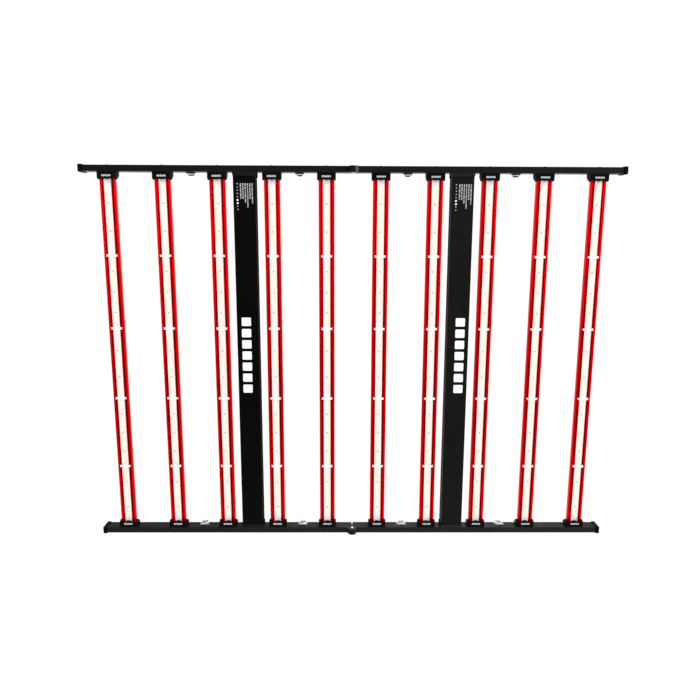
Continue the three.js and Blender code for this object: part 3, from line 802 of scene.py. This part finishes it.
def rail_screws(rail, outward, side):
    """Two heads at each bar and two at the driver housing, on the rail's outer face."""
    screws = Build()
    y = outward * RAIL_OUTER
    spots = [(x, dz) for x in bars_on(side) for dz in (-BAR_SCREW_Z, BAR_SCREW_Z)]
    for k, (x, dz) in enumerate(spots):
        screws.screw((x, y, RAIL_MID + dz), (0, outward, 0), radius=3.6, height=1.9,
                     drive="hex", turn=0.7 * k)
    for k, dx in enumerate((-BRACKET_SCREW_X, BRACKET_SCREW_X), start=len(spots)):
        screws.screw((HOUSING_X[side] + dx, y, RAIL_MID + BRACKET_SCREW_Z), (0, outward, 0),
                     radius=4.2, height=2.0, drive="hex", turn=0.9 * k)
    screws.make(f"rail_screws_{rail}_{side}", ["dark_screw_and_saddle_shade"], f"{side}_half")


for make_piece in (socket_marks, rail_screws):
    for rail, outward in RAILS:
        for side, _ in SIDES:
            make_piece(rail, outward, side)

# ------------------------------------------------------------------ hinge pins
# radius, height above the rail face
PIN_HEAD = [(3.45, 0.05), (3.75, 0.35), (3.8, 1.2), (3.5, 1.75), (2.6, 2.15), (1.2, 2.3),
            (0.02, 2.32)]
PIN_WASHER = [(3.4, 0.02), (5.6, 0.02), (5.7, 0.15), (5.6, 0.42), (3.4, 0.45)]

for rail, outward in RAILS:
    pin = Build()
    for face, direction in ((RAIL_INNER, -outward), (RAIL_OUTER, outward)):
        foot = (0, outward * face, HINGE_Z)
        pin.lathe(PIN_HEAD, foot, (0, direction, 0), 28, 0)
        pin.lathe(PIN_WASHER, foot, (0, direction, 0), 32, 1)
    pin.make(f"hinge_pin_heads_{rail}", ["bright", "dark_screw_and_saddle_shade"], "left_half")

# ------------------------------------------------------------------ hanging rings and saddles
RING_HALF = 11      # centre line half width
RING_CORNER = 3
RING_WIRE = 1.97
RING_TOP_DROP = 2.0  # centre line below the top of the CAD ring
RING_FLAT = RING_HALF - RING_CORNER
# centre line: straight top, rounded corners, half circle below; (x, z) from the top's middle
RING_PATH = (
    [(-RING_FLAT + 2 * RING_FLAT * k / 12, 0.0) for k in range(13)]
    + arc(RING_FLAT, -RING_CORNER, RING_CORNER, range(75, -1, -15))
    + [(RING_HALF, -5.5)]
    + arc(0, -8, RING_HALF, range(0, -181, -9))
    + [(-RING_HALF, -5.5)]
    + arc(-RING_FLAT, -RING_CORNER, RING_CORNER, range(180, 90, -15)))
PLATE_HALF, PLATE_THICKNESS = 14.4, 1.55
PLATE_FRONT, PLATE_BACK = RAIL_BACK - 23.4, RAIL_BACK - 1.0
LUG_INNER, LUG_OUTER, LUG_HALF = 4.3, 4.75, 7.6  # two radii and half length
SADDLE_SCREW_X, SADDLE_SCREW_DROP = 10.9, 11.5


def hanging_ring(place, x, y, z):
    ring = Build()
    ring.tube([(x + dx, y, z + dz) for dx, dz in RING_PATH], RING_WIRE, 16, closed=True)
    ring.make(f"ring_{place}", ["bright"], f"ring_{place}",
              replaces=f"hanging_ring_{place}")


def ring_saddle(place, x, y, z, outward, materials, ride):
    """Pressed plate on the rail's inner face with a lug curled round the ring's top."""
    saddle = Build()
    inward = -outward
    rail_y = outward * RAIL_INNER
    plate_y = rail_y + inward * PLATE_THICKNESS
    saddle.extrude(rounded(x - PLATE_HALF, x + PLATE_HALF, PLATE_FRONT, PLATE_BACK, 2.2, 3),
                   min(rail_y, plate_y), max(rail_y, plate_y))
    curl_out, curl_in = [[(y + dy * outward, pz) for dy, pz in arc(0, z, radius, range(90, 271, 15))]
                         for radius in (LUG_OUTER, LUG_INNER)]
    base = rail_y + inward * 1.5
    lug = [(base, z + LUG_OUTER), *curl_out, (base, z - LUG_OUTER),
           (base, z - LUG_INNER), *reversed(curl_in), (base, z + LUG_INNER)]
    saddle.extrude(lug, x - LUG_HALF, x + LUG_HALF, "x")
    for dx in (-SADDLE_SCREW_X, SADDLE_SCREW_X):
        saddle.screw((x + dx, plate_y, z - SADDLE_SCREW_DROP), (0, inward, 0), radius=2.0,
                     height=1.0, slot=1, turn=dx, count=16)
    saddle.make(f"ring_saddle_{place}", materials, ride)


for rail, outward in RAILS:
    # the near saddles take the dark screw coat as painted shade; the far ones are bright zinc
    saddle_materials = ["zinc", "nickel"] if rail == "far" else ["dark_screw_and_saddle_shade", "dark_screw_and_saddle_shade"]
    for side, _ in SIDES:
        for position in ("inner", "outer"):
            place = f"{rail}_{side}_{position}"
            middle = centre(f"hanging_ring_{place}")
            top = extents(f"hanging_ring_{place}")[1].z - RING_TOP_DROP
            hanging_ring(place, middle.x, middle.y, top)
            ring_saddle(place, middle.x, middle.y, top, outward, saddle_materials,
                        f"{side}_half")

# ------------------------------------------------------------------ driver housings
BLOCK_SHIFT = {"left": -3.7, "right": 6.0}  # large printed blocks, x from the housing's middle
BLOCK_HALF, BLOCK_LENGTH = 14.6, 26.5
BLOCK_START, BLOCK_PITCH = -132, 36.0
PANEL_START = -541.0  # y where the rating panel begins
LINE_LENGTHS = (46, 46, 57, 72, 46, 60)
LINE_START, LINE_PITCH, LINE_HALF = -10.5, 7.0, 1.7
STROKE_STEPS, STROKE_GAP = (4.5, 6.5, 9.0, 12.0), 1.8
ICON_X, ICON_PITCH = -20.5, 9.4
LARGE_ICONS = (5, 6)
LEAD_Y = -470.0
LEAD_RADIUS, LEAD_BEND, LEAD_SWAY = 3.9, 7.0, 6.0
SEAM_Y, SEAM_HALF_X, SEAM_HALF_Y = 562.2, 33.2, 0.9
HOUSING_SCREW_Y = (-540, -300, -60, 180, 420, 540)
HOUSING_SCREW_X = 25.5
# radius, height behind the housing's back face
GROMMET = [(4.6, -3.0), (8.8, -3.0), (8.8, -0.2), (10.6, 0.0), (10.8, 0.8), (10.0, 1.8),
           (7.6, 2.6), (5.2, 3.4), (4.4, 3.6)]
# radius, distance along Y from the end of the cable
LEAD_PLUG = [(3.6, -1.0), (4.4, 0.0), (4.5, 9.0), (4.0, 10.0), (5.1, 11.0), (5.3, 12.0),
             (5.3, 22.0), (4.9, 23.0), (4.9, 25.0), (5.3, 26.0), (5.3, 32.0), (4.9, 33.0),
             (4.4, 33.4), (4.2, 29.0), (0.1, 29.0)]
PLUG_RIB = [(5.33, 0.0), (5.5, 0.3), (5.5, 0.9), (5.33, 1.2)]


def housing_marks(side, mid_x):
    """Large printed blocks, and a rating panel of plain strokes towards the near end."""
    marks = Build()
    z = HOUSING_FRONT
    block_x = mid_x + BLOCK_SHIFT[side]
    for k in range(7):
        y = BLOCK_START + BLOCK_PITCH * k
        block = rounded(block_x - BLOCK_HALF, block_x + BLOCK_HALF, y, y + BLOCK_LENGTH, 2.6, 4)
        marks.extrude(block, z - 0.14, z + 0.05, "z")
    draws = random.Random(11)
    for k, length in enumerate(LINE_LENGTHS):
        x = mid_x + LINE_START + LINE_PITCH * k
        y = PANEL_START
        while y < PANEL_START + length - 1.5:
            end = min(y + draws.choice(STROKE_STEPS), PANEL_START + length)
            stroke = rounded(x - LINE_HALF, x + LINE_HALF, y, end, 0.6, 2)
            marks.extrude(stroke, z - 0.12, z + 0.05, "z", 1)
            y = end + STROKE_GAP
    for k in range(9):
        y = PANEL_START + ICON_PITCH * k
        half, slot = (2.5, 0) if k in LARGE_ICONS else (1.7, 1)
        x = mid_x + ICON_X
        icon = rounded(x - half, x + half, y, y + 2 * half, 0.7, 2)
        marks.extrude(icon, z - 0.12, z + 0.05, "z", slot)
    marks.make(f"housing_marks_{side}", ["print", "print_grey"], f"{side}_half")


def supply_lead(side, mid_x, outward):
    """Grommet in the back wall and a short lead that ends in an in-line plug."""
    lead = Build()
    z = HOUSING_BACK
    lead.lathe(GROMMET, (mid_x, LEAD_Y, z), (0, 0, 1), 32)
    path = []
    for k in range(9):
        angle = math.radians(90 * k / 8)
        path.append((mid_x, LEAD_Y + LEAD_BEND - LEAD_BEND * math.cos(angle),
                     z - 2.0 + 6.4 * math.sin(angle)))
    for k in range(1, 15):
        sway = LEAD_SWAY * math.sin(k / 14 * math.pi) ** 2 * outward
        path.append((mid_x + sway, LEAD_Y + LEAD_BEND + 10.0 * k, z + 4.4))
    lead.tube(path, LEAD_RADIUS, 16)
    end_x, end_y, _ = path[-1]
    plug_z = z + 5.6
    lead.lathe(LEAD_PLUG, (end_x, end_y, plug_z), (0, 1, 0))
    for k in range(4):
        lead.lathe(PLUG_RIB, (end_x, end_y + 13.5 + 2.2 * k, plug_z), (0, 1, 0))
    lead.make(f"supply_lead_{side}", ["rubber"], f"{side}_half")


def housing_seams(side, mid_x):
    """Thin joint lines across the front and back faces at both ends."""
    seams = Build()
    for y in (-SEAM_Y, SEAM_Y):
        line = rounded(mid_x - SEAM_HALF_X, mid_x + SEAM_HALF_X, y - SEAM_HALF_Y, y + SEAM_HALF_Y,
                       0.5, 2)
        seams.extrude(line, HOUSING_FRONT - 0.05, HOUSING_FRONT + 0.4, "z")
        seams.extrude(line, HOUSING_BACK - 0.4, HOUSING_BACK + 0.05, "z")
    seams.make(f"housing_end_seams_{side}", ["seam"], f"{side}_half")


def housing_screws(side, mid_x):
    screws = Build()
    for k, y in enumerate(HOUSING_SCREW_Y):
        for dx in (-HOUSING_SCREW_X, HOUSING_SCREW_X):
            screws.screw((mid_x + dx, y, HOUSING_BACK), (0, 0, 1), radius=2.3, height=1.2,
                         turn=k + dx, count=16)
    screws.make(f"housing_screws_{side}", ["dark_screw_and_saddle_shade"], f"{side}_half")


for side, outward in SIDES:
    housing_marks(side, HOUSING_X[side])
    supply_lead(side, HOUSING_X[side], outward)
    housing_seams(side, HOUSING_X[side])
    housing_screws(side, HOUSING_X[side])

# ------------------------------------------------------------------ stage, metres
BACKDROP_STRENGTH = 1.05


def floor_material():
    shade = new_shader("studio_floor")
    place = shade.coords()
    tone = shade.noise(place, scale=1.7, detail=4.0)
    gloss = shade.noise(place, scale=14.0, detail=4.0)
    relief = shade.noise(place, scale=60.0, detail=4.0)
    surface = shade.principled(
        Base_Color=shade.mix(tone, tinted(0.80), tinted(0.84)),
        Roughness=shade.remap(gloss, src=(0.3, 0.7), dst=(0.55, 0.7)),
        Normal=shade.bump(relief, strength=0.05, distance=0.002))
    # away from the object the floor runs out into the white backdrop
    x, y, _ = shade.axes()
    far = shade.rise(shade.radius(x, y), src=(1.6, 7.0))
    return shade.material(shade.mix_shader(
        shade.mul(far, shade.camera_ray()), surface, shade.emission(BACKDROP_STRENGTH)))


def reflector_material():
    """A pale glow with a darker band across it."""
    shade = new_shader("studio_reflector")
    _, y, _ = shade.axes()
    band = shade.mul(shade.remap(y, src=(-0.25, 1.0)),
                     shade.remap(y, src=(1.02, 1.55), dst=(1.0, 0.0)))
    clouds = shade.noise(shade.coords(), scale=1.1, detail=3.0)
    patch = shade.remap(clouds, src=(0.3, 0.7), dst=(0.94, 1.06))
    level = shade.remap(band, src=(0.0, 1.0), dst=(0.92, 0.10))
    return shade.material(shade.emission(shade.mul(level, patch)))


def plane(name, half, z, material):
    mesh = bpy.data.meshes.new(name)
    corners = [(-half, -half, z), (half, -half, z), (half, half, z), (-half, half, z)]
    mesh.from_pydata(corners, [], [(0, 1, 2, 3)])
    mesh.materials.append(material)
    made = bpy.data.objects.new(name, mesh)
    scene.collection.objects.link(made)
    return made


floor = plane("studio_floor", half=40.0, z=-2.4, material=floor_material())

# only reflections see the reflector
reflector = plane("studio_reflector", half=9, z=-2.37, material=reflector_material())
for ray in ("camera", "diffuse", "shadow", "transmission", "volume_scatter"):
    setattr(reflector, f"visible_{ray}", False)

# the camera sees a white backdrop; the light itself is bright above and dimmer below
scene.world = bpy.data.worlds.new("studio")
shade = Shader(scene.world)
room_strength = shade.remap(shade.axes("Generated")[2], src=(-0.15, 0.25), dst=(0.2, 0.72))
room = shade.node("Background", Color=(0.97, 0.98, 1.0, 1), Strength=room_strength)
backdrop = shade.node("Background", Color=(1, 1, 1, 1), Strength=BACKDROP_STRENGTH)
shade.node("OutputWorld", Surface=shade.mix_shader(
    shade.camera_ray(), room.outputs[0], backdrop.outputs[0]))


# ------------------------------------------------------------------ lights
def area(name, place, width, height, power, aim=(0, 0, 0)):
    lamp = bpy.data.lights.new(name, "AREA")
    lamp.shape = "RECTANGLE"
    lamp.size, lamp.size_y = width, height
    lamp.energy = power
    made = bpy.data.objects.new(name, lamp)
    made.location = place
    made.rotation_euler = (Vector(aim) - Vector(place)).to_track_quat("-Z", "Y").to_euler()
    made.visible_camera = False
    scene.collection.objects.link(made)
    return made


low_lights = [
    area("fill_low_left", (-3.4, -1.2, -2.0), width=1.8, height=1.8, power=68),
    area("fill_low_right", (3.4, -1.2, -2.0), width=1.8, height=1.8, power=81),
    area("fill_low_near", (0.0, -3.6, -1.9), width=2.6, height=1.4, power=34),
    area("fill_low_far", (0.0, 3.4, -2.0), width=2.6, height=1.4, power=50, aim=(0, 0.3, 0)),
]
area("key_high", (0.8, -2.6, 3.1), width=2.4, height=2.4, power=92)
area("soft_high", (-2.6, 2.2, 3.0), width=2.4, height=2.4, power=45)
side_fill = area("fill_right_black_parts", (2.9, -0.5, -1.7), width=1.6, height=1.6, power=340,
                 aim=(0.6, 0, 0))
side_fill.visible_glossy = False

# the low lights leave no patches on the floor
low_receivers = bpy.data.collections.new("low_light_receivers")
low_receivers.objects.link(floor)
low_receivers.collection_objects[0].light_linking.link_state = "EXCLUDE"
for light in low_lights:
    light.light_linking.receiver_collection = low_receivers

# the side fill reaches the black parts only
black_parts = bpy.data.collections.new("black_part_receivers")
for item in scene.objects:
    if item.type == "MESH" and item.name.startswith(("rail_near_", "rail_far_",
                                                     "driver_housing_")):
        black_parts.objects.link(item)
side_fill.light_linking.receiver_collection = black_parts

scene.view_settings.view_transform = "Standard"
scene.view_settings.look = "None"
scene.view_settings.exposure = 0.0
scene.view_settings.gamma = 1.0

# ------------------------------------------------------------------ camera
# below the hung light, looking up at its LED side
CAMERA_PLACE = (-0.02684, -0.39017, -1.94293)
CAMERA_TURN = (("Z", 0.0024), ("Y", -0.00872), ("X", 0.18211))  # radians

camera_data = bpy.data.cameras.new("camera")
camera_data.sensor_width = 36.0
camera_data.lens = 32.2836
camera_data.clip_end = 60
camera = bpy.data.objects.new("camera", camera_data)
turn_z, turn_y, turn_x = [Matrix.Rotation(angle, 3, axis) for axis, angle in CAMERA_TURN]
# the turns carry the world to the view, whose Y and Z run against the camera's own
facing = (turn_z @ turn_y @ turn_x).transposed() @ Matrix.Diagonal((1, -1, -1))
camera.matrix_world = Matrix.Translation(CAMERA_PLACE) @ facing.to_4x4()
scene.collection.objects.link(camera)
scene.camera = camera
